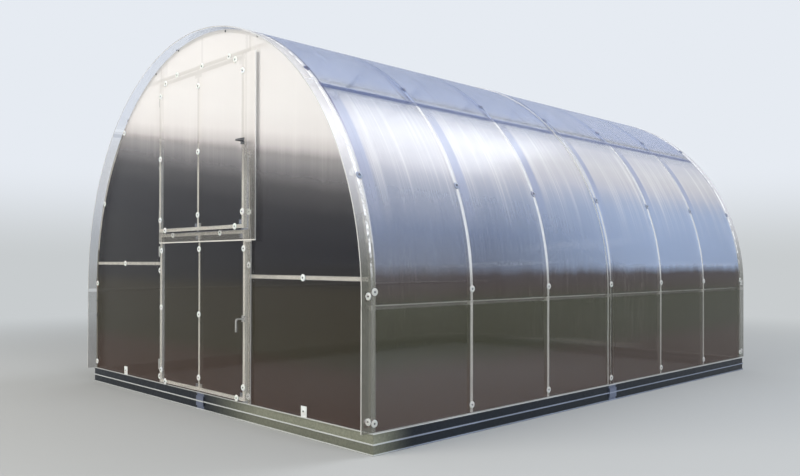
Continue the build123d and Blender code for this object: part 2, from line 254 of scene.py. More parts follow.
# Clear polycarbonate, extruded as twin-wall sheet: low down it is clear, takes light away and carries a dark
# painted shade, higher up a pale, bluish painted reflection, and fine painted highlights streak along its
# flutes.
polycarbonateIor = 1.585
cornerHeights = (147 * mm, 710 * mm)  # washers at the corners of the gables
sheetLook = {
    "roof": {
        "across": "Y",  # axis that the flutes are counted along
        # painted light by height, dark painted shade low down, a pale bluish painted reflection and a
        # painted highlight band higher up: (height, colour, cover of one skin)
        "zones": [
            (0.10, "#4B382D", 0.56), (0.32, "#45362B", 0.56), (0.42, "#38361F", 0.56),
            (0.66, "#38381F", 0.55), (0.72, "#43362E", 0.52), (0.79, "#43383A", 0.48),
            (0.84, "#666B7B", 0.44), (1.02, "#6E7A96", 0.46), (1.20, "#A0A7BA", 0.44),
            (1.36, "#CFCCD1", 0.49), (1.52, "#DBD9DB", 0.50), (1.64, "#D6D6DE", 0.46),
            (1.69, "#CCD0DC", 0.34), (1.775, "#BEC9E4", 0.17), (1.81, "#B6C6EC", 0.23),
            (2.20, "#C4D2F2", 0.25),
        ],
        "tilt": 0.0,
        "streaks": (0.98, 1.45, 0.08),  # painted highlight streaks: from this height, full at this height, cover added
        "streaksEnd": (1.80, 1.58),  # gone at this height, whole up to this one
        "streakPaint": 0.45,  # how much of the painted highlight colour shows
        "ragged": 0.06,  # how far up and down the zones' edges run
        "rims": (0.7, 0.9),  # share of a face's normal along Y, from which it is a cut edge
        "gloss": 0.5,
        "backed": (0.3, 0.3),  # share of the cover left where a tube lies behind: low down, high up
    },
    "gable": {
        "across": "X",
        # painted light by height: dark painted shade low down, a white painted reflection high up
        "zones": [
            (0.10, "#46352C", 0.66), (0.32, "#40332A", 0.66), (0.40, "#353122", 0.66),
            (0.72, "#322D22", 0.74), (0.78, "#211F1F", 0.77), (0.93, "#1B191D", 0.80),
            (1.10, "#28272A", 0.79), (1.22, "#484749", 0.75), (1.31, "#787678", 0.68),
            (1.385, "#9C9999", 0.66), (1.43, "#CDC8C7", 0.66), (1.50, "#E9E6E4", 0.66),
            (1.62, "#EFEDEB", 0.66), (2.20, "#F1EFED", 0.66),
        ],
        "tilt": 0.16,  # the painted zones lie this much higher, metre for metre, towards -X, as a reflection would
        "streaks": (1.20, 1.60, 0.0),
        "streaksEnd": (2.00, 1.70),
        "streakPaint": 0.1,
        "ragged": 0.03,
        "rims": (0.3, 0.1),
        "gloss": 0.2,
        "backed": (0.15, 0.9),
    },
    "tiltRise": (0.75, 1.25),  # the zones tilt more and more between these heights
    "tiltFrom": 1.0,  # in X
    # colour of the painted highlight streaks
    "streakHighlightColour": "#FFFCF6",
    # noise width, detail and roughness: real flutes, 6 mm apart, are too fine to show, so these are wider
    "streakNoise": (9 * mm, 2.0, 0.6),
    "bandNoise": (70 * mm, 3.0, 0.55),
    "noiseRun": 1.1,  # metres along the flutes
    "streakMark": (0.20, 0.46),  # noise values at which a streak starts and is whole
    "glance": (0.35, 0.22),  # more mirror towards a grazing view: how soon, how much
    "rough": (0.16, 0.28),
    "ripple": (0.35, 1.2 * mm),  # strength and height of the flutes' relief
    "fluteSwing": 0.8 * mm,  # height of the flutes' waves, as a lens
    "shadowShare": 0.8,  # of the light that a skin seems to take, what it takes from the lamps
    "rim": ("#F2F2EE", 0.34),  # painted highlight on the sheet's cut edges: colour, cover added
    # past the end arches, painted shade low down and a painted highlight high up: from, full, colour low
    # down and high up, cover low down and high up
    "endBand": (1.990, 1.998, "#66655A", "#E0DEE0", 0.26, 0.22),
    "endBandKept": 0.45,  # share of the zones' cover that is left there
    "endBandFoot": (0.75, 1.40),
    "glintNoise": (26.0, 3.0, 0.38, 0.56),  # patchy painted glints: patches per metre (38 mm), detail, noise from dull to shining
    "faced": 0.3,  # how squarely a face looks out of the tunnel, for the skin that gets the painted highlight
    # a painted highlight runs along the gable sheet's edge, and a painted shadow line along the inner edge
    # of the bow:
    # place, half, colour, cover, heights from which it shows and is whole
    "endHighlightLine": (2.013, 6 * mm, "#FBFBFA", 0.55, (0.72, 0.95)),
    "bowShadowLine": (1.984, 4 * mm, "#6A698A", 0.25, (1.25, 1.60)),
    # past the end arches the corner washers show: place, half, share of the sheet taken off
    "cornerWasher": (2.037, 21 * mm, 0.8),
    # painted reflection: towards the rear the low part of the curve turns to this colour: share, from Y, to
    # Y
    "rearward": ("#B2C6E6", 0.88, -1.9, 0.9),
    "rearwardHeights": (0.82, 0.90, 1.20, 1.50),
    "overBowHighlight": ("#F4F6F9", 0.9, 0.16),  # painted highlight over the bows: colour, its share, cover added
    "overBowHeights": (0.72, 0.90, 1.45, 1.80),
    "purlinShadeLine": (1.731, 11 * mm, "#60709E", 0.4),  # painted shade where a purlin touches: height, half, colour, cover
    "behindArch": (12 * mm, 20 * mm, 74 * mm, 100 * mm),  # calmer stretch just behind each arch, with a bluer painted reflection
    "behind": ("#98A4C8", 0.75),  # its painted reflection colour and the share of it
    "leafLap": ("#9C9A92", 0.7, 0.16),  # where a leaf sheet laps over the next, a paler painted light in place of the painted shade: colour, its share, cover
    "leafReach": (4 * mm, 1 * mm, 2 * mm),  # clear of the gable, of the frame's side and of its inner face
    "leafGap": 12 * mm,  # between the leaves, seen through the lap
    "lapFoot": ("#E6E4DE", 0.6, 7 * mm),  # painted highlight on the foot of the upper leaf's sheet: colour, cover, height
    "backedRise": (1.22, 1.48),  # from the low share to the high one between these heights
    "backedHalf": 11 * mm,  # half the width that a tube hides
    "stileInner": 60 * mm,  # width of the stile that shows on the hinge side
}

# Flat plates on the inner side of the leaf frames, at the corners and where the middle bar ends
leafPlate = {
    "corner": (46 * mm, 46 * mm),
    "middle": (76 * mm, 42 * mm),
    "steel": 1.5 * mm,
}


def leafPlates(low, high):
    # (width, rise, middle along X, height of the middle) of each plate of one leaf
    width, rise = leafPlate["corner"]
    plates = [(width, rise, side * (high.x - width / 2), height) for side in (-1, 1)
              for height in (low.z + rise / 2, high.z - rise / 2)]
    width, rise = leafPlate["middle"]
    return plates + [(width, rise, 0.0, height) for height in (low.z + rise / 2, high.z - rise / 2)]


def bayShare(add, y, fromArch):
    # Share of the way from one arch to the next, or from one middle of a bay to the next
    bay = add("Math", y, 1 / archStep, tunnel["bayShift"] + fromArch, operation="MULTIPLY_ADD")
    return add("Math", bay, operation="FRACT")


def aboveSpring(add, z):
    # Height over the foot of the half-round bow
    raised = add("Math", z, tunnel["springHeight"], operation="SUBTRACT")
    return add("Math", raised, 0.0, operation="MAXIMUM")


def roofStrips(add, x, y, z):
    # Tubes behind the roof sheet. Each strip is a list of (value, middle, half width) that all have to hold
    half = sheetLook["backedHalf"]
    across = add("Math", x, operation="ABSOLUTE")
    slope = add("Math", across, z, operation="SUBTRACT")
    return [
        [(bayShare(add, y, 0.5), 0.5, half / archStep)],
        [(z, middleHeight("side_rail_right"), half)],
        [(slope, -tunnel["springHeight"], half * 2 ** 0.5)],  # the purlins, at 45 degrees
    ]


def gableStrips(add, x, y, z):
    # Tubes and plates behind the sheets of the gables and doors
    half = sheetLook["backedHalf"]
    tube = tunnel["tube"]
    across = add("Math", x, operation="ABSOLUTE")
    spoke = add("CombineXYZ", {"X": across, "Z": aboveSpring(add, z)})
    reach = add("VectorMath", spoke, operation="LENGTH")
    low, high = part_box("front_jamb_lock_side")
    jamb = abs(low.x + high.x) / 2
    strips = [
        [(reach, tunnel["halfWidth"] - tube / 2, half)],
        [(across, jamb, half)],
        [(z, middleHeight("front_lintel"), half), (x, 0.0, jamb)],
    ]
    for leaf in ("front_lower_leaf_frame", "front_upper_leaf_frame"):
        low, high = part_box(leaf)
        strips += [[(z, height, half), (x, 0.0, jamb)] for height in (low.z + tube / 2, high.z - tube / 2)]
        strips += [[(across, abs(middle), width / 2), (z, height, rise / 2)]
                   for width, rise, middle, height in leafPlates(low, high)]
    strips += [[(across, high.x - tube / 2, half)], [(across, 0.0, half)]]
    # the stile on the hinge side shows its inner face too
    inner = sheetLook["stileInner"]
    anywhere = tunnel["halfLength"] / 2  # only tells the front gable from the rear one
    strips += [[(x, side * (high.x - inner / 2), inner / 2), (y, side * tunnel["halfLength"], anywhere)]
               for side in (-1, 1)]
    for rail in ("front_rail_hinge", "front_rail_lock", "rear_rail_lock", "rear_rail_hinge"):
        low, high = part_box(rail + "_side")
        strips.append([(z, (low.z + high.z) / 2, half), (x, (low.x + high.x) / 2, (high.x - low.x) / 2),
                       (y, low.y, anywhere)])
    return strips


def tubeBacking(add, strips):
    # 1 where a tube or plate lies against the sheet
    tests = [combine(add, "MULTIPLY", [add("Math", *part, operation="COMPARE") for part in strip])
             for strip in strips]
    return combine(add, "MAXIMUM", tests)


def leafLapping(add, x, y, z):
    # 1 on the margins of the door leaves' sheets that reach past their frames
    low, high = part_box("front_upper_leaf_frame")
    outward = add("Math", y, operation="ABSOLUTE")
    across = add("Math", x, operation="ABSOLUTE")
    out, aside, behind = sheetLook["leafReach"]
    leafFrom = tunnel["halfLength"] + tunnel["gableFace"] + out
    onLeaf = add("Math", outward, leafFrom, operation="GREATER_THAN")
    beside = add("Math", across, high.x + aside, operation="GREATER_THAN")
    onUpper = add("Math", outward, -low.y - behind, operation="GREATER_THAN")
    # the gap between the leaves stays dark
    below = add("Math", z, low.z - sheetLook["leafGap"], operation="LESS_THAN")
    skirt = add("Math", onUpper, below, operation="MULTIPLY")
    margin = add("Math", beside, skirt, operation="MAXIMUM")
    return add("Math", onLeaf, margin, operation="MULTIPLY")


def addLine(add, colour, cover, mask, hexCode, added):
    # Another colour where the mask is 1, and more cover
    colour = add("Mix", mask, colour, linear(hexCode), data_type="RGBA")
    return colour, add("Math", mask, added, cover, operation="MULTIPLY_ADD")


def setLine(add, colour, cover, mask, hexCode, wanted):
    # Another colour where the mask is 1, and a cover of its own
    colour = add("Mix", mask, colour, linear(hexCode), data_type="RGBA")
    return colour, add("Mix", mask, cover, wanted, data_type="FLOAT")


def lapLook(add, x, y, z, level, colour, cover):
    margin = leafLapping(add, x, y, z)
    # high up, where the whole gable has its white painted reflection, the laps don't show
    clearOf = add("MapRange", level, *sheetLook["backedRise"], 1.0, 0.0)
    lap = add("Math", margin, clearOf, operation="MULTIPLY")
    # Paler painted light on the laps, and a painted highlight along the upper leaf's foot
    lapColour, lapShare, lapCover = sheetLook["leafLap"]
    colour = tint(add, colour, lap, lapShare, lapColour)
    cover = add("Mix", lap, cover, lapCover, data_type="FLOAT")
    footColour, footCover, footHeight = sheetLook["lapFoot"]
    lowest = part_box("front_upper_leaf_sheet")[0].z
    atFoot = add("Math", z, lowest, footHeight, operation="COMPARE")
    foot = add("Math", atFoot, margin, operation="MULTIPLY")
    return setLine(add, colour, cover, foot, footColour, footCover)


def sheetEndLook(add, place, normal, x, y, z, colour, cover):
    # Past the end arches the roof sheet stands free: painted shade low down, paler high up with patchy
    # painted glints, and a painted line along each edge
    start, whole, lowColour, highColour, lowCover, highCover = sheetLook["endBand"]
    outward = add("Math", y, operation="ABSOLUTE")
    pastArch = add("MapRange", outward, start, whole)
    rising = add("MapRange", z, *sheetLook["endBandFoot"], **smooth)
    glintsPerMetre, detail, dull, shining = sheetLook["glintNoise"]
    # Patchy painted glints
    glintNoise = add("TexNoise", {"Vector": place, "Scale": glintsPerMetre, "Detail": detail})
    glinting = add("MapRange", glintNoise, dull, shining)
    kept = add("MapRange", pastArch, 0, 1, 1.0, sheetLook["endBandKept"])
    cover = add("Math", cover, kept, operation="MULTIPLY")
    # only the skin that faces outward gets the painted highlight
    spoke = add("CombineXYZ", {"X": x, "Z": aboveSpring(add, z)})
    outer = add("VectorMath", spoke, normal, operation="DOT_PRODUCT")
    faced = add("Math", outer, sheetLook["faced"], operation="GREATER_THAN")
    washerPlace, washerHalf, washerShare = sheetLook["cornerWasher"]
    beside = add("Math", outward, washerPlace, washerHalf, operation="COMPARE")
    near = [add("Math", z, height, washerHalf, operation="COMPARE") for height in cornerHeights]
    onRight = add("Math", x, 0.0, operation="GREATER_THAN")
    washer = combine(add, "MULTIPLY", [combine(add, "ADD", near), beside, onRight])
    bare = add("MapRange", washer, 0, 1, 1.0, 1 - washerShare)
    cover = add("Math", cover, bare, operation="MULTIPLY")
    band = combine(add, "MULTIPLY", [pastArch, faced, bare])
    bandColour = add("Mix", rising, linear(lowColour), linear(highColour), data_type="RGBA")
    bandCover = add("MapRange", rising, 0, 1, lowCover, highCover)
    colour = add("Mix", band, colour, bandColour, data_type="RGBA")
    cover = add("Math", band, bandCover, cover, operation="MULTIPLY_ADD")
    # A painted highlight along the gable sheet's edge, and a painted shadow along the inner edge of the bow
    for name in ("endHighlightLine", "bowShadowLine"):
        middle, half, lineColour, lineCover, heights = sheetLook[name]
        strength = add("MapRange", z, *heights, **smooth)
        if name == "endHighlightLine":
            strength = combine(add, "MULTIPLY", [band, strength, glinting])
        near = add("Math", outward, middle, half, operation="COMPARE")
        drawn = add("Math", near, strength, operation="MULTIPLY")
        colour, cover = addLine(add, colour, cover, drawn, lineColour, lineCover)
    return colour, cover


def sheetMaterial(name, kind):
    look = sheetLook[kind]
    material, add, place, normal = newMaterial(name)
    x, y, z = add("SeparateXYZ", place).outputs
    slow = 1 / sheetLook["noiseRun"]
    noises = []
    for key in ("streakNoise", "bandNoise"):
        width, detail, roughness = sheetLook[key]
        scale = {"X": (1 / width, slow, slow), "Y": (slow, 1 / width, slow)}[look["across"]]
        moved = add("Mapping", {"Vector": place, "Scale": scale})
        noise = {"Vector": moved, "Scale": 1.0, "Detail": detail, "Roughness": roughness}
        noises.append(add("TexNoise", noise))
    streaks, bands = noises
    both = add("Math", streaks, bands, operation="MULTIPLY")
    mark = add("MapRange", both, *sheetLook["streakMark"], **smooth)
    # Painted light: zones of painted shade and reflection by height, with edges that run up and down the
    # flutes
    leftward = add("Math", x, sheetLook["tiltFrom"], operation="SUBTRACT")
    tilt = add("MapRange", z, *sheetLook["tiltRise"], 0.0, look["tilt"], **smooth)
    level = add("Math", leftward, tilt, z, operation="MULTIPLY_ADD")
    ragged = add("Math", bands, look["ragged"], level, operation="MULTIPLY_ADD")
    top = look["zones"][-1][0]
    zones = add("ValToRGB", add("MapRange", ragged, look["ragged"] / 2, top + look["ragged"] / 2))
    stops = zones.color_ramp.elements
    for height, colour, cover in look["zones"][1:-1]:
        stops.new(height / top)
    for stop, (height, colour, cover) in zip(stops, look["zones"]):
        stop.position = height / top
        stop.color = linear(colour, cover)
    start, whole, gain = look["streaks"]
    starting = add("MapRange", ragged, start, whole, **smooth)
    fading = add("MapRange", z, *look["streaksEnd"], **smooth)
    lit = add("Math", starting, fading, operation="MULTIPLY")
    streakHighlight = add("Math", mark, lit, operation="MULTIPLY")
    colour = zones.outputs["Color"]
    if kind == "roof":
        # Just behind each arch the sheet lies flatter: no painted highlight streaks, and a bluer painted
        # reflection
        part = bayShare(add, y, 0.0)
        behind = between(add, part, [place / archStep for place in sheetLook["behindArch"]])
        calm = add("Math", behind, lit, operation="MULTIPLY")
        loud = add("Math", 1.0, calm, operation="SUBTRACT", use_clamp=True)
        streakHighlight = add("Math", streakHighlight, loud, operation="MULTIPLY")
        behindColour, behindShare = sheetLook["behind"]
        colour = tint(add, colour, calm, behindShare, behindColour)
        # Painted reflection: the low part of the curve is paler and bluer towards the rear
        farColour, farShare, nearPlace, farPlace = sheetLook["rearward"]
        rearward = add("MapRange", y, nearPlace, farPlace, 0.0, farShare, **smooth)
        lowPart = between(add, ragged, sheetLook["rearwardHeights"])
        colour = tint(add, colour, lowPart, rearward, farColour)
        # Light runs along the sheet where it is bent over a bow
        bowColour, bowShare, bowCover = sheetLook["overBowHighlight"]
        middle = add("Math", part, 0.5, operation="SUBTRACT")
        apart = add("Math", middle, operation="ABSOLUTE")
        bowEdge = 0.5 - sheetLook["backedHalf"] / archStep
        onBow = add("Math", apart, bowEdge, operation="GREATER_THAN")
        overBowHighlight = add("Math", between(add, z, sheetLook["overBowHeights"]), onBow, operation="MULTIPLY")
        colour = tint(add, colour, overBowHighlight, bowShare, bowColour)
    # Painted highlight streaks along the flutes: paler colour and more cover
    cover = add("Math", streakHighlight, gain, zones.outputs["Alpha"], operation="MULTIPLY_ADD")
    colour = tint(add, colour, streakHighlight, look["streakPaint"], sheetLook["streakHighlightColour"])
    strips = (roofStrips if kind == "roof" else gableStrips)(add, x, y, z)
    keeps = add("MapRange", level, *sheetLook["backedRise"], *look["backed"])
    left = add("MapRange", tubeBacking(add, strips), 0, 1, 1.0, keeps)
    cover = add("Math", cover, left, operation="MULTIPLY")
    if kind == "roof":
        cover = add("Math", overBowHighlight, bowCover, cover, operation="MULTIPLY_ADD")
        # Painted shade: a dark blue line where a purlin touches the sheet
        height, half, lineColour, lineCover = sheetLook["purlinShadeLine"]
        touching = add("Math", z, height, half, operation="COMPARE")
        colour, cover = setLine(add, colour, cover, touching, lineColour, lineCover)
        colour, cover = sheetEndLook(add, place, normal, x, y, z, colour, cover)
    else:
        colour, cover = lapLook(add, x, y, z, level, colour, cover)
    # Cut edges catch the light along their whole length
    endwise = add("Math", add("SeparateXYZ", normal).outputs["Y"], operation="ABSOLUTE")
    rim = add("MapRange", endwise, *look["rims"])
    colour, cover = addLine(add, colour, cover, rim, *sheetLook["rim"])
    blend, mirror = sheetLook["glance"]
    glance = add("LayerWeight", blend)
    alpha = add("Math", glance, mirror, cover, operation="MULTIPLY_ADD")
    rough = add("MapRange", bands, 0, 1, *sheetLook["rough"])
    strength, swing = sheetLook["ripple"]
    bump = add("Bump", {"Strength": strength, "Distance": swing, "Height": streaks})
    haze = add("BsdfPrincipled", {
        "Base Color": colour, "Roughness": rough, "Normal": bump, "IOR": polycarbonateIor,
        "Specular IOR Level": look["gloss"],
    })
    # The flutes bend what is seen through them to the sides, so uprights further off smear out
    lens = add("Bump", {"Strength": 1.0, "Distance": sheetLook["fluteSwing"], "Height": streaks})
    through = add("BsdfRefraction", {"IOR": polycarbonateIor, "Roughness": 0.0, "Normal": lens})
    # Lamps and scattered light pass straight on, and lose a share on the way
    path = add("LightPath").outputs
    shadow = path["Is Shadow Ray"]
    scattered = add("Math", shadow, path["Is Diffuse Ray"], operation="MAXIMUM")
    clear = add("MixShader", scattered, through, add("BsdfTransparent"))
    passed = add("MapRange", shadow, 0, 1, 1.0, sheetLook["shadowShare"])
    seen = add("Math", alpha, passed, operation="MULTIPLY")
    add("OutputMaterial", add("MixShader", seen, clear, haze))
    return material


roofPolycarbonate = sheetMaterial("twinWallPolycarbonateRoof", "roof")
gablePolycarbonate = sheetMaterial("twinWallPolycarbonateGable", "gable")

# Ribs between the two skins, of the same clear polycarbonate: each one catches a little light
ribLook = {
    "colour": "#EEF2F4",
    "patches": (9.0, 2.0),  # patches of light per metre (111 mm), detail
    "alpha": (0.01, 0.06),
    "rough": 0.25,
}


def ribMaterial():
    material, add, place, _ = newMaterial("polycarbonateRib")
    patches, detail = ribLook["patches"]
    patch = add("TexNoise", {"Vector": place, "Scale": patches, "Detail": detail})
    alpha = add("MapRange", patch, 0, 1, *ribLook["alpha"])
    add("OutputMaterial", add("BsdfPrincipled", {
        "Base Color": linear(ribLook["colour"]), "Roughness": ribLook["rough"], "IOR": polycarbonateIor,
        "Alpha": alpha,
    }))
    return material


polycarbonateRib = ribMaterial()

# Galvanised and zinc-plated steel: flower-like zinc crystals of different greys, half matt
zinc = {
    "clouds": (7.0, 3.0, 0.35),  # slow changes of tone: per metre (143 mm), detail, share in the tone
    "relief": (0.12, 0.2 * mm),  # strength and height of the crystals
    "edge": 1 * mm,  # half the height over which one colour turns into the other
}


def crystalTones(add, place, spangle, clouds):
    # Greys of each zinc crystal, slow clouds, and the two blended
    crystals = add("TexVoronoi", {"Vector": place, "Scale": 1 / spangle})
    tone = add("SeparateColor", crystals.outputs["Color"]).outputs
    scale, detail, share = clouds
    cloud = add("TexNoise", {"Vector": place, "Scale": scale, "Detail": detail})
    return tone, cloud, add("Mix", share, tone[0], cloud, data_type="FLOAT")


def finishSurface(add, colour, rough, relief, height, **sockets):
    # Relief from a height, and the finished shader
    strength, swing = relief
    bump = add("Bump", {"Strength": strength, "Distance": swing, "Height": height})
    surface = {"Base Color": colour, "Roughness": rough, "Normal": bump}
    surface.update({key.replace("_", " "): value for key, value in sockets.items()})
    add("OutputMaterial", add("BsdfPrincipled", surface))


def zincMaterial(name, darkColour, paleColour, spangle, rough, metal, above=None):
    # spangle is the crystals' size; above gives a height and the colour over it
    material, add, place, _ = newMaterial(name)
    tone, _, blend = crystalTones(add, place, spangle, zinc["clouds"])
    colour = add("Mix", blend, linear(darkColour), linear(paleColour), data_type="RGBA")
    if above:
        height, upperColour = above
        z = add("SeparateXYZ", place).outputs["Z"]
        upper = add("MapRange", z, height - zinc["edge"], height + zinc["edge"])
        colour = add("Mix", upper, colour, linear(upperColour), data_type="RGBA")
    roughness = add("MapRange", tone[1], 0, 1, *rough)
    finishSurface(add, colour, roughness, zinc["relief"], tone[2], Metallic=metal)
    return material


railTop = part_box("side_rail_right")[1].z
# name: (dark, pale, spangle, roughness, metallic, (height, colour over it))
steelFinishes = {
    # Hot-dip galvanised tube: pale, with soft spangles
    "galvanisedTubeSteel": ("#E0DED5", "#F5F3EB", 6 * mm, (0.34, 0.52), 0.15),
    # Above the purlins the bows get painted shade, greyer and bluer
    "galvanisedBowSteelShadedHigh": ("#E0DED5", "#F5F3EB", 6 * mm, (0.34, 0.52), 0.15, (1.735, "#8E9AB8")),
    # Painted shade: the end bows stand in the shade of the sheet past the gables, so their legs are painted
    # darker
    "galvanisedEndBowSteelShadedLegs": ("#85847A", "#A19F95", 6 * mm, (0.4, 0.6), 0.15, (0.95, "#EFEDE5")),
    # The long rails get painted shade on their outer faces, with a painted highlight along the upper edge
    "galvanisedRailSteelShadedWithLitTop": ("#77746B", "#96938A", 6 * mm, (0.4, 0.6), 0.2, (railTop - 6 * mm, "#E9E8E1")),
    # The purlins, seen through the sheet, get painted shade with a deep blue painted reflection of the sky
    "galvanisedPurlinSteelShaded": ("#1C3260", "#2C4476", 6 * mm, (0.5, 0.7), 0.0),
    # Small pressed parts, zinc plated: finer crystals, smoother
    "zincPlatedClampSteel": ("#8F9396", "#DDDFDF", 4 * mm, (0.35, 0.5), 0.3),
    # Above 1.2 m the fittings get painted shade
    "zincPlatedFittingSteel": ("#7C7D7B", "#D2D2CE", 3 * mm, (0.28, 0.42), 0.3, (1.2, "#5A5B5E")),
    "zincPlatedScrewSteel": ("#55585B", "#7B7E80", 2 * mm, (0.3, 0.45), 1.0),
}
steel = {name: zincMaterial(name, *finish) for name, finish in steelFinishes.items()}
clampSteel = steel["zincPlatedClampSteel"]
fittingSteel = steel["zincPlatedFittingSteel"]
screwSteel = steel["zincPlatedScrewSteel"]

# Galvanised sheet, folded cold: the same zinc, a little darker, with patchy painted highlights along the
# bends
baseLook = {
    # Painted shade and reflection: dark for most of its length, pale near the front right corner
    "dark": ("#151A20", "#272E39"),
    "pale": ("#7D8070", "#A3A592"),
    "paleFrom": (0.0, 0.7),  # along the front, in X
    "paleSide": (-1.75, -2.06),  # and round the corner, in Y
    "spangle": 9 * mm,
    "clouds": (2.5, 4.0, 0.6),  # as the tubes' clouds, larger (400 mm) and stronger
    # colour of the painted highlights along the bends
    "bright": "#DDE1DF",
    "brightSide": "#98A2B6",  # the middle bead along the sides gets a bluer painted reflection
    "upperFrom": 75 * mm,  # the upper bead lies above this
    "below": (50 * mm, "#20262A", 0.3),  # painted shade below the middle bead: height, colour, share
    # (height, half width) of the painted highlight lines along the beads
    "bends": ((98.5 * mm, 2.5 * mm), (50 * mm, 3.6 * mm), (4 * mm, 3.0 * mm)),
    "bendHighlight": (0.55, 1.0),  # how much of the bends gets the painted highlight, in patches
    "plate": ("#8089A0", 40.5 * mm, 0.75),  # splice plates, of another batch: colour, half, share
    "metal": (0.5, 0.2),  # plain, on the painted highlights
    "rough": (0.3, 0.5),
}


def baseMaterial():
    material, add, place, _ = newMaterial("galvanisedFoldedSheet")
    x, y, z = add("SeparateXYZ", place).outputs
    tone, cloud, blend = crystalTones(add, place, baseLook["spangle"], baseLook["clouds"])
    dark, pale = (add("Mix", blend, *[linear(colour) for colour in baseLook[key]], data_type="RGBA")
                  for key in ("dark", "pale"))
    # Painted shade for most of the length, painted reflection towards the front right corner
    rightward = add("MapRange", x, *baseLook["paleFrom"], **smooth)
    frontward = add("MapRange", y, *baseLook["paleSide"], **smooth)
    corner = add("Math", rightward, frontward, operation="MULTIPLY")
    colour = add("Mix", corner, dark, pale, data_type="RGBA")
    # Painted highlights along the bends, in patches
    onBends = combine(add, "MAXIMUM", [add("Math", z, height, half, operation="COMPARE")
                                      for height, half in baseLook["bends"]])
    patchy = add("MapRange", cloud, 0, 1, *baseLook["bendHighlight"])
    bendHighlight = add("Math", onBends, patchy, operation="MULTIPLY")
    # Painted shade below the middle bead
    belowHeight, belowColour, belowShare = baseLook["below"]
    below = add("Math", z, belowHeight, operation="LESS_THAN")
    colour = tint(add, colour, below, belowShare, belowColour)
    plateColour, plateHalf, plateShare = baseLook["plate"]
    plate = combine(add, "MAXIMUM", [add("Math", along, 0.0, plateHalf, operation="COMPARE")
                                     for along in (x, y)])
    colour = tint(add, colour, plate, plateShare, plateColour)
    upper = add("Math", z, baseLook["upperFrom"], operation="GREATER_THAN")
    plain = add("Math", upper, frontward, operation="MAXIMUM")
    bright = add("Mix", plain, linear(baseLook["brightSide"]), linear(baseLook["bright"]), data_type="RGBA")
    finish = add("Mix", bendHighlight, colour, bright, data_type="RGBA")
    metal = add("MapRange", bendHighlight, 0, 1, *baseLook["metal"])
    rough = add("MapRange", tone[1], 0, 1, *baseLook["rough"])
    finishSurface(add, finish, rough, zinc["relief"], tone[2], Metallic=metal)
    return material


galvanisedBase = baseMaterial()

# Polycarbonate, injection moulded: smooth and a little waxy, greyer where dirt settles
moulded = {
    "dust": (60.0, 3.0),  # dirty patches per metre (17 mm), detail
    "rough": (0.28, 0.5),
    "relief": (0.1, 0.1 * mm),
    "wax": 0.1,  # light that goes in under the surface
}


def plasticMaterial(name, clean, dusty, upper=()):
    material, add, place, _ = newMaterial(name)
    patches, detail = moulded["dust"]
    dust = add("TexNoise", {"Vector": place, "Scale": patches, "Detail": detail})
    colour = add("Mix", dust, linear(clean), linear(dusty), data_type="RGBA")
    z = add("SeparateXYZ", place).outputs["Z"]
    for height, upperColour in upper:
        high = add("Math", z, height, operation="GREATER_THAN")
        colour = add("Mix", high, colour, linear(upperColour), data_type="RGBA")
    rough = add("MapRange", dust, 0, 1, *moulded["rough"])
    finishSurface(add, colour, rough, moulded["relief"], dust, IOR=polycarbonateIor,
                  Subsurface_Weight=moulded["wax"])
    return material


mouldedWhite = plasticMaterial("mouldedWhitePolycarbonate", "#F7F7F4", "#DEDFDB")
# The washers on the roof are half clear: painted in the tones of the curve, with darker, bluer painted shade
# and reflection higher up
mouldedClear = plasticMaterial("mouldedClearPolycarbonate", "#D6D5D0", "#B4B3AF",
                               upper=((0.9, "#868FA2"), (1.6, "#4E5A7C")))

# What each CAD node is made of: the first entry counts whose word is in the node's name
nodeFinishes = [
    ("roof_sheet", roofPolycarbonate),
    ("sheet", gablePolycarbonate),
    ("base_tabs", mouldedWhite),
    ("base", galvanisedBase),
    ("arch_1", steel["galvanisedEndBowSteelShadedLegs"]),
    ("arch_7", steel["galvanisedEndBowSteelShadedLegs"]),
    ("arch", steel["galvanisedBowSteelShadedHigh"]),
    ("purlin", steel["galvanisedPurlinSteelShaded"]),
    ("side_rail", steel["galvanisedRailSteelShadedWithLitTop"]),
    ("tube_clamps", clampSteel),
    ("hinge_barrels", fittingSteel),
    ("hinge_pins", fittingSteel),
    ("handles", fittingSteel),
    ("fittings", fittingSteel),
    ("", steel["galvanisedTubeSteel"]),
]
for name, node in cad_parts.items():
    node.data.materials.clear()
    node.data.materials.append(next(finish for word, finish in nodeFinishes if word in name))
print("CAD nodes dressed")


# Geometry Nodes: trees are built here and run on a small source mesh or curve
def newTree(name, inputs):
    tree = bpy.data.node_groups.new(name, "GeometryNodeTree")
    tree.is_modifier = True
    tree.interface.new_socket("Geometry", in_out="INPUT", socket_type="NodeSocketGeometry")
    for label, kind in inputs.items():
        tree.interface.new_socket(label, in_out="INPUT", socket_type="NodeSocket" + kind)
    tree.interface.new_socket("Geometry", in_out="OUTPUT", socket_type="NodeSocketGeometry")
    add = partial(addNode, tree)
    return tree, add, add("NodeGroupInput").outputs


def endTree(add, asked, instances):
    real = add("GeometryNodeRealizeInstances", instances)
    dressed = add("GeometryNodeSetMaterial", {"Geometry": real, "Material": asked["Material"]})
    add("NodeGroupOutput", dressed)


def pointRow(add, asked, start, axis):
    # Points one pitch apart along an axis
    step = add("CombineXYZ", {axis: asked["Pitch"]})
    return add("GeometryNodeMeshLine", {"Count": asked["Count"], "Start Location": start, "Offset": step})


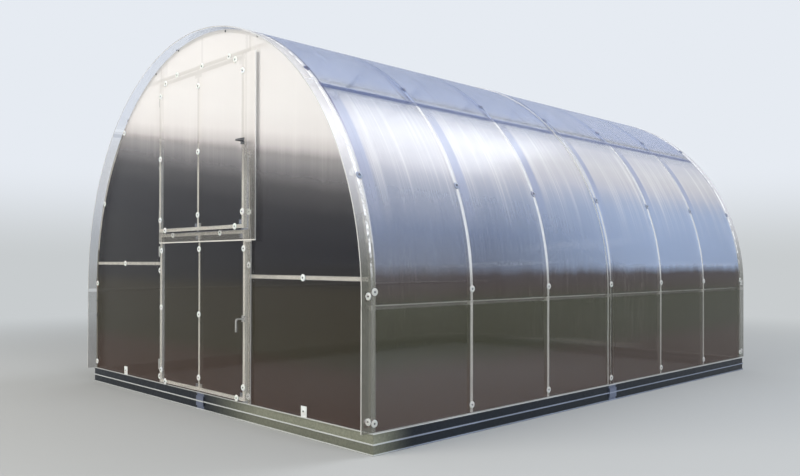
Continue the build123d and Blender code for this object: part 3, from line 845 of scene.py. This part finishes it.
def growMesh(name, source, tree, sizes):
    maker = placeObject(name, source)
    modifier = maker.modifiers.new("grow", "NODES")
    modifier.node_group = tree
    for item in tree.interface.items_tree:
        if item.item_type == "SOCKET" and item.in_out == "INPUT" and item.name in sizes:
            modifier[item.identifier] = sizes[item.name]
    bpy.context.view_layer.update()
    mesh = bpy.data.meshes.new_from_object(maker.evaluated_get(bpy.context.evaluated_depsgraph_get()))
    maker.modifiers.clear()
    bpy.data.objects.remove(maker)
    return mesh


def joinMeshes(name, meshes):
    joined = bmesh.new()
    for mesh in meshes:
        joined.from_mesh(mesh)
    result = meshOf(name, joined)
    for material in meshes[0].materials:
        result.materials.append(material)
    return result


def keepPiece(name, mesh, body):
    mesh.name = name
    piece = placeObject(name, mesh)
    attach(piece, body)
    return piece


# Ribs of the twin-wall sheets
flute = {
    "pitch": 6 * mm,
    "wall": 0.5 * mm,
    "skin": 0.5 * mm,
    "arcSteps": 36,
    "footGap": 0.5 * mm,  # between the ribs' feet and the base
}
ribSize = {
    "Rib Wall": flute["wall"],
    "Rib Depth": tunnel["sheet"] - 2 * flute["skin"],
    "Material": polycarbonateRib,
}
ribInputs = {
    "Rib Wall": "Float", "Rib Depth": "Float", "Pitch": "Float", "Count": "Int", "First": "Float",
}


def makeArchFluteTree():
    # Sweeps one rib along the path it is run on, then repeats it along the tunnel
    tree, add, asked = newTree("archFlutes", {**ribInputs, "Material": "Material"})
    section = add("GeometryNodeCurvePrimitiveQuadrilateral",
                  {"Width": asked["Rib Wall"], "Height": asked["Rib Depth"]})
    upright = add("GeometryNodeSetCurveNormal",
                  {"Curve": asked["Geometry"], "Normal": (0, 1, 0)}, mode="FREE")
    rib = add("GeometryNodeCurveToMesh", {"Curve": upright, "Profile Curve": section, "Fill Caps": True})
    row = pointRow(add, asked, add("CombineXYZ", {"Y": asked["First"]}), "Y")
    endTree(add, asked, add("GeometryNodeInstanceOnPoints", {"Points": row, "Instance": rib}))
    return tree


def archPath(radius):
    curve = bpy.data.curves.new("archPath", "CURVE")
    curve.dimensions = "3D"
    steps = flute["arcSteps"]
    foot = tunnel["baseTop"] + flute["footGap"]
    points = [(radius * cos(pi * i / steps), tunnel["springHeight"] + radius * sin(pi * i / steps))
              for i in range(steps + 1)]
    points = [(radius, foot)] + points + [(-radius, foot)]
    spline = curve.splines.new("POLY")
    spline.points.add(len(points) - 1)
    for point, (x, z) in zip(spline.points, points):
        point.co = (x, 0, z, 1)
    return curve


def makeRoofFlutes():
    tree = makeArchFluteTree()
    wall, end, lapEdge, lap = flute["wall"], tunnel["roofEnd"], tunnel["lapHalf"], tunnel["lap"]
    middle = tunnel["roofInside"] + tunnel["sheet"] / 2
    # name: rows of (radius, first place along the tunnel, last place)
    sheets = {
        "roof_flutes_front": [(middle, -end + wall, -lapEdge - lap),
                              (middle + lap, -lapEdge, lapEdge - wall)],
        "roof_flutes_rear": [(middle, -lapEdge + wall, end - wall)],
    }
    for name, rows in sheets.items():
        meshes = []
        for radius, first, last in rows:
            count = int((last - first) / flute["pitch"])
            meshes.append(growMesh(name, archPath(radius), tree, {
                **ribSize, "Pitch": (last - first) / count, "Count": count + 1, "First": first,
            }))
        ribs = keepPiece(name, joinMeshes(name, meshes), "root")
        ribs.visible_shadow = False


makeRoofFlutes()
print("roof flutes made")


def makeUprightFluteTree():
    # A row of upright ribs that stop at a ceiling or under the bow, whichever is lower
    sizes = ("Face", "Foot", "Ceiling", "Bow Radius", "Spring Height")
    tree, add, asked = newTree("uprightFlutes", {
        **ribInputs, **{size: "Float" for size in sizes}, "Material": "Material",
    })
    start = add("CombineXYZ", {"X": asked["First"], "Y": asked["Face"]})
    row = pointRow(add, asked, start, "X")
    along = add("SeparateXYZ", add("GeometryNodeInputPosition")).outputs["X"]
    outwards = add("Math", along, along, operation="MULTIPLY")
    radius = add("Math", asked["Bow Radius"], asked["Bow Radius"], operation="MULTIPLY")
    left = add("Math", radius, outwards, operation="SUBTRACT")
    some = add("Math", left, 0.0, operation="MAXIMUM")
    rise = add("Math", some, operation="SQRT")
    bow = add("Math", rise, asked["Spring Height"], operation="ADD")
    top = add("Math", bow, asked["Ceiling"], operation="MINIMUM")
    height = add("Math", top, asked["Foot"], operation="SUBTRACT")
    middle = add("Math", height, 0.5, asked["Foot"], operation="MULTIPLY_ADD")
    lift = add("CombineXYZ", {"Z": middle})
    tall = add("CombineXYZ", 1.0, 1.0, height)
    section = add("CombineXYZ", asked["Rib Wall"], asked["Rib Depth"], 1.0)
    rib = add("GeometryNodeMeshCube", {"Size": section})
    # The heights are read before the points move up
    kept = add("GeometryNodeCaptureAttribute", {"Geometry": row})
    kept.capture_items.new("VECTOR", "Tall")
    tree.links.new(tall.outputs[0], kept.inputs["Tall"])
    raised = add("GeometryNodeSetPosition", {"Geometry": kept.outputs["Geometry"], "Offset": lift})
    ribs = add("GeometryNodeInstanceOnPoints",
               {"Points": raised, "Instance": rib, "Scale": kept.outputs["Tall"]})
    endTree(add, asked, ribs)
    return tree


def makeGableFlutes():
    tree = makeUprightFluteTree()
    wall, skin = flute["wall"], flute["skin"]
    head = tunnel["springHeight"] + tunnel["halfWidth"]
    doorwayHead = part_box("front_sheet_over_door")[0].z
    # name: (body, rows of (left, right, foot, ceiling, near face, far face))
    pieces = {"front_door_flutes": ("front_door", []), "rear_door_flutes": ("root", []),
              "front_gable_flutes": ("root", []), "rear_gable_flutes": ("root", [])}
    for end in ("front", "rear"):
        rows = pieces[end + "_gable_flutes"][1]
        for part in ("_sheet_hinge_side", "_sheet_lock_side", "_sheet_over_door"):
            low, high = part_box(end + part)
            left, right = low.x, high.x
            if part == "_sheet_lock_side":
                # its upper part reaches in over the door, from the head of the doorway up
                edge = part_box(end + "_sheet_hinge_side")[1 if end == "front" else 0].x
                reach = (left, -edge) if end == "front" else (-edge, right)
                rows.append((*reach, doorwayHead, head, low.y, high.y))
                left, right = (-edge, right) if end == "front" else (left, -edge)
            rows.append((left, right, low.z, head, low.y, high.y))
    for leaf in ("front_lower_leaf_sheet", "front_upper_leaf_sheet"):
        low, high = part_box(leaf)
        pieces["front_door_flutes"][1].append((low.x, high.x, low.z, high.z, low.y, high.y))
        # the rear door is the front one turned round the middle of the tunnel
        pieces["rear_door_flutes"][1].append((-high.x, -low.x, low.z, high.z, -high.y, -low.y))
    for name, (body, rows) in pieces.items():
        meshes = []
        for left, right, foot, ceiling, near, far in rows:
            first, last = left + wall, right - wall
            count = max(1, round((last - first) / flute["pitch"]))
            meshes.append(growMesh(name, bpy.data.meshes.new("row"), tree, {
                **ribSize, "Pitch": (last - first) / count, "Count": count + 1, "First": first,
                "Face": (near + far) / 2, "Foot": foot + skin, "Ceiling": ceiling - skin,
                "Bow Radius": tunnel["halfWidth"] - skin, "Spring Height": tunnel["springHeight"],
            }))
        ribs = keepPiece(name, joinMeshes(name, meshes), body)
        ribs.visible_shadow = False


makeGableFlutes()
print("gable and door flutes made")


# Fasteners: places are (point, facing). Gable places are given as (u, height): u to the
# right of the middle of the gable, seen from outside.
def onGable(end, u, height, out):
    side = -1 if end == "front" else 1
    return (-side * u, side * (tunnel["halfLength"] + out), height), (0, side, 0)


def onGableBow(end, radius, degrees):
    rise = radians(degrees)
    return onGable(end, radius * cos(rise), tunnel["springHeight"] + radius * sin(rise), tunnel["gableFace"])


def onRoof(place, side, degrees, radius):
    across, up = side * cos(radians(degrees)), sin(radians(degrees))
    return (radius * across, place, tunnel["springHeight"] + radius * up), (across, 0, up)


def onSide(place, side, height, radius):
    return (side * radius, place, height), (side, 0, 0)


sheetFixing = {
    "sideHeights": (140 * mm, 730 * mm),
    "roofDegrees": (22, 48.5, 78),
    "bowWasherDegrees": (23, 45, 135, 157),
    "bowScrewDegrees": (67, 80, 101, 113),
    "bowMiddle": 1490 * mm,
    "bowWasherPlace": 1481 * mm,  # clear of the roof sheet
    "legScrewHeights": (479 * mm, 583 * mm),
    "cornerPlace": 1481 * mm,
    "jambPlace": 513 * mm,
    "jambHeights": {
        -1: (140 * mm, 810 * mm, 1460 * mm, 1890 * mm),
        1: (140 * mm, 848 * mm, 1135 * mm, 1445 * mm, 1905 * mm),
    },
    "railPlaces": {-1: 1020 * mm, 1: 995 * mm},
    "tab": (1005 * mm, 128 * mm),
    "overDoorPlaces": (-300 * mm, 0, 300 * mm),
    "stile": 478 * mm,
    "handleHeights": {"lower": 557 * mm, "upper": 1520 * mm},
    "handleScrews": 11 * mm,
    "handleSteel": 2 * mm,
    "railEnd": 553 * mm,
    "railScrews": 23 * mm,
}
# Washers on the door leaves: (u, height) in mm
leafFixing = {
    "lower": [(-468, 187), (-468, 579), (-468, 935), (478, 185), (478, 938), (0, 187), (0, 557), (0, 940),
              (-412, 120), (412, 120), (-310, 1030), (240, 1030)],
    "upper": [(-468, 1125), (-468, 1509), (-468, 1905), (478, 1138), (478, 1901), (0, 1140), (0, 1510),
              (0, 1895), (-403, 1060), (403, 1060), (-403, 1975), (403, 1975)],
}


def railMiddle(end, side):
    return middleHeight(end + ("_rail_hinge_side" if side < 0 else "_rail_lock_side"))


def leafFace(leaf):
    return -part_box("front_" + leaf + "_leaf_sheet")[0].y - tunnel["halfLength"]


def washerSpots():
    roofs, fixed, swinging = [], [], []
    for place in archPlaces:
        radius = tunnel["roofInside"] + tunnel["sheet"]
        if abs(place) < tunnel["lapHalf"]:
            radius += tunnel["lap"]
        for side in (-1, 1):
            roofs += [onSide(place, side, height, radius) for height in sheetFixing["sideHeights"]]
            roofs += [onRoof(place, side, degrees, radius) for degrees in sheetFixing["roofDegrees"]]
    face = tunnel["gableFace"]
    tabPlace, tabHeight = sheetFixing["tab"]
    tabFace = -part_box("base_tabs")[0].y - tunnel["halfLength"]
    for end in ("front", "rear"):
        fixed += [onGableBow(end, sheetFixing["bowWasherPlace"], degrees)
                  for degrees in sheetFixing["bowWasherDegrees"]]
        for side in (-1, 1):
            fixed += [onGable(end, side * sheetFixing["cornerPlace"], height, face)
                      for height in cornerHeights]
            fixed += [onGable(end, side * sheetFixing["jambPlace"], height, face)
                      for height in sheetFixing["jambHeights"][side]]
            fixed.append(onGable(end, side * sheetFixing["railPlaces"][side], railMiddle(end, side), face))
            fixed.append(onGable(end, side * tabPlace, tabHeight, tabFace))
        lintel = middleHeight(end + "_lintel")
        fixed += [onGable(end, u, lintel, face) for u in sheetFixing["overDoorPlaces"]]
        onLeaves = swinging if end == "front" else fixed
        for leaf, spots in leafFixing.items():
            onLeaves += [onGable(end, u * mm, height * mm, leafFace(leaf)) for u, height in spots]
    return {"roof": roofs, "gable": fixed, "door": swinging}


def plateScrewSpots():
    # Four in each handle plate, and two beside the end of each gable rail
    swinging, fixed = [], []
    around = sheetFixing["handleScrews"]
    for end in ("front", "rear"):
        onLeaves = swinging if end == "front" else fixed
        for leaf, height in sheetFixing["handleHeights"].items():
            face = leafFace(leaf) + sheetFixing["handleSteel"]
            onLeaves += [onGable(end, sheetFixing["stile"] + right * around, height + up * around, face)
                         for right in (-1, 1) for up in (-1, 1)]
        for side in (-1, 1):
            rail, apart = railMiddle(end, side), sheetFixing["railScrews"]
            fixed += [onGable(end, side * sheetFixing["railEnd"], rail + up * apart, tunnel["gableFace"])
                      for up in (-1, 1)]
    return {"door": swinging, "gable": fixed}


def leafPlateSpots(end):
    # For each size of plate, its places on the inner side of both leaves of one door
    spots = {"corner": [], "middle": []}
    for leaf in ("lower", "upper"):
        low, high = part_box("front_" + leaf + "_leaf_frame")
        for width, rise, middle, height in leafPlates(low, high):
            point, (_, out, _) = onGable(end, middle, height, -high.y - tunnel["halfLength"])
            spots["corner" if middle else "middle"].append((point, (0, -out, 0)))
    return spots


def bowScrewSpots():
    middle = sheetFixing["bowMiddle"]
    spots = []
    for end in ("front", "rear"):
        spots += [onGableBow(end, middle, degrees) for degrees in sheetFixing["bowScrewDegrees"]]
        spots += [onGable(end, side * middle, height, tunnel["gableFace"])
                  for side in (-1, 1) for height in sheetFixing["legScrewHeights"]]
    return spots


# Folded clamps where the rails and purlins cross the arches
clamp = {
    "seat": 1479.7 * mm,
    "steel": 2 * mm,
    "ear": 19.3 * mm,
    "lastPlace": 2002 * mm,
}


def clampBoltSpots():
    # One bolt through each ear of a clamp, with its head towards the room
    spots = []
    for side in (-1, 1):
        for degrees, height in ((0, middleHeight("side_rail_right")), (45, tunnel["springHeight"])):
            rise = radians(degrees)
            outward = Vector((side * cos(rise), 0, sin(rise)))
            along = Vector((-side * sin(rise), 0, cos(rise)))
            seat = Vector((0, 0, height)) + outward * (clamp["seat"] - clamp["steel"])
            for place in archPlaces:
                held = max(-clamp["lastPlace"], min(clamp["lastPlace"], place))
                for ear in (-1, 1):
                    point = seat + along * (ear * clamp["ear"]) + Vector((0, held, 0))
                    spots.append((tuple(point), tuple(-outward)))
    return spots


creaseAngle = radians(38)


def latheMesh(name, profile, sides):
    # Closed turned shape: profile is (radius, height) from the outer foot to the middle
    shape = bmesh.new()
    rings = [[shape.verts.new((radius * cos(2 * pi * i / sides), radius * sin(2 * pi * i / sides), height))
              for i in range(sides)] for radius, height in profile]
    for lower, upper in zip(rings, rings[1:]):
        for i in range(sides):
            j = (i + 1) % sides
            shape.faces.new((lower[i], lower[j], upper[j], upper[i])).smooth = True
    shape.faces.new(rings[-1])
    shape.faces.new(rings[0][::-1])
    bmesh.ops.recalc_face_normals(shape, faces=shape.faces)
    for edge in shape.edges:
        edge.smooth = edge.calc_face_angle() < creaseAngle
    return meshOf(name, shape)


# Fastener profiles, (radius, height) in mm from the seat, and how many sides they are turned with
fastener = {
    "screwLift": 0.5,  # in mm, of the screws in the washers
    "seeds": {"screws": 10, "bows": 20, "clamps": 30, "plates": 40},
    "washer": ([(18, 0), (18.5, 0.9), (17.2, 3.4), (12, 5.2), (8.0, 5.0), (6.8, 1.6)], 16),
    "flange": ([(6.2, 0), (6.0, 1.0), (4.8, 1.5)], 12),
    "hexagon": ([(4.5, 1.2), (4.5, 3.6), (3.8, 4.2)], 6),
    "boltFlange": ([(6.5, 0), (6.5, 1.2)], 12),
    "boltHexagon": ([(5.7, 1.2), (5.7, 4.6), (4.9, 5.2)], 6),
    "pan": ([(3.7, 0), (3.5, 1.2), (2.2, 2.0)], 10),
}


def fastenerMesh(name, lift=0.0):
    profile, sides = fastener[name]
    return latheMesh(name, [(radius * mm, (height + lift) * mm) for radius, height in profile], sides)


def plateMesh(name):
    shape = bmesh.new()
    bmesh.ops.create_cube(shape, size=1.0)
    width, rise = leafPlate[name]
    for corner in shape.verts:
        corner.co = (corner.co.x * width, corner.co.y * rise, (corner.co.z + 0.5) * leafPlate["steel"])
    return meshOf(name, shape)


def makeFastenerTree():
    # Sets the fastener on every point, faced by the point's own direction and turned at random
    tree, add, asked = newTree("fastenerSpots", {
        "Fastener": "Object", "Seed": "Int", "Spin": "Float", "Material": "Material",
    })
    source = add("GeometryNodeObjectInfo", {"Object": asked["Fastener"]})
    facing = add("GeometryNodeInputNamedAttribute", {"Name": "facing"}, data_type="FLOAT_VECTOR")
    faced = add("FunctionNodeAlignRotationToVector", {"Vector": facing}, axis="Z")
    turn = add("FunctionNodeRandomValue", {"Max": asked["Spin"], "Seed": asked["Seed"]}, data_type="FLOAT")
    spin = add("FunctionNodeAxisAngleToRotation", {"Axis": (0, 0, 1), "Angle": turn})
    turned = add("FunctionNodeRotateRotation", {"Rotation": faced, "Rotate By": spin},
                 rotation_space="LOCAL")
    placed = add("GeometryNodeInstanceOnPoints", {
        "Points": asked["Geometry"], "Instance": source.outputs["Geometry"], "Rotation": turned,
    })
    endTree(add, asked, placed)
    return tree


fastenerTree = makeFastenerTree()


def fastenerRow(name, shape, spots, material, seed, spin=2 * pi):
    points = bpy.data.meshes.new("spots")
    points.from_pydata([point for point, facing in spots], [], [])
    facing = points.attributes.new("facing", "FLOAT_VECTOR", "POINT")
    facing.data.foreach_set("vector", [value for point, direction in spots for value in direction])
    model = placeObject("model", shape)
    mesh = growMesh(name, points, fastenerTree,
                    {"Fastener": model, "Seed": seed, "Spin": spin, "Material": material})
    bpy.data.objects.remove(model)
    return mesh


def makeFasteners():
    washer, pan = fastenerMesh("washer"), fastenerMesh("pan")
    sunkScrew = fastenerMesh("hexagon", fastener["screwLift"])
    screw = joinMeshes("screw", [fastenerMesh("flange"), fastenerMesh("hexagon")])
    bolt = joinMeshes("bolt", [fastenerMesh("boltFlange"), fastenerMesh("boltHexagon")])
    seeds = fastener["seeds"]
    rows = []  # (name, shape, places, body, slot, material, seed)
    for seed, (where, spots) in enumerate(washerSpots().items()):
        body = "front_door" if where == "door" else "root"
        plastic = mouldedClear if where == "roof" else mouldedWhite
        rows.append((where + "_washers", washer, spots, body, "white_plastic", plastic, seed))
        rows.append((where + "_screws", sunkScrew, spots, body, "fitting_steel", screwSteel,
                     seed + seeds["screws"]))
    rows.append(("bow_screws", screw, bowScrewSpots(), "root", "fitting_steel", screwSteel, seeds["bows"]))
    rows.append(("clamp_bolts", bolt, clampBoltSpots(), "root", "fitting_steel", fittingSteel,
                 seeds["clamps"]))
    for seed, (where, spots) in enumerate(plateScrewSpots().items()):
        body = "front_door" if where == "door" else "root"
        rows.append((where + "_plate_screws", pan, spots, body, "fitting_steel", screwSteel,
                     seed + seeds["plates"]))
    for name, shape, spots, body, slot, material, seed in rows:
        keepPiece(name, fastenerRow(name, shape, spots, material, seed), body)
    for end, body in (("front", "front_door"), ("rear", "root")):
        name = end + "_leaf_plates"
        meshes = [fastenerRow(kind, plateMesh(kind), spots, clampSteel, 0, spin=0.0)
                  for kind, spots in leafPlateSpots(end).items()]
        keepPiece(name, joinMeshes(name, meshes), body)


makeFasteners()
print("fasteners made")
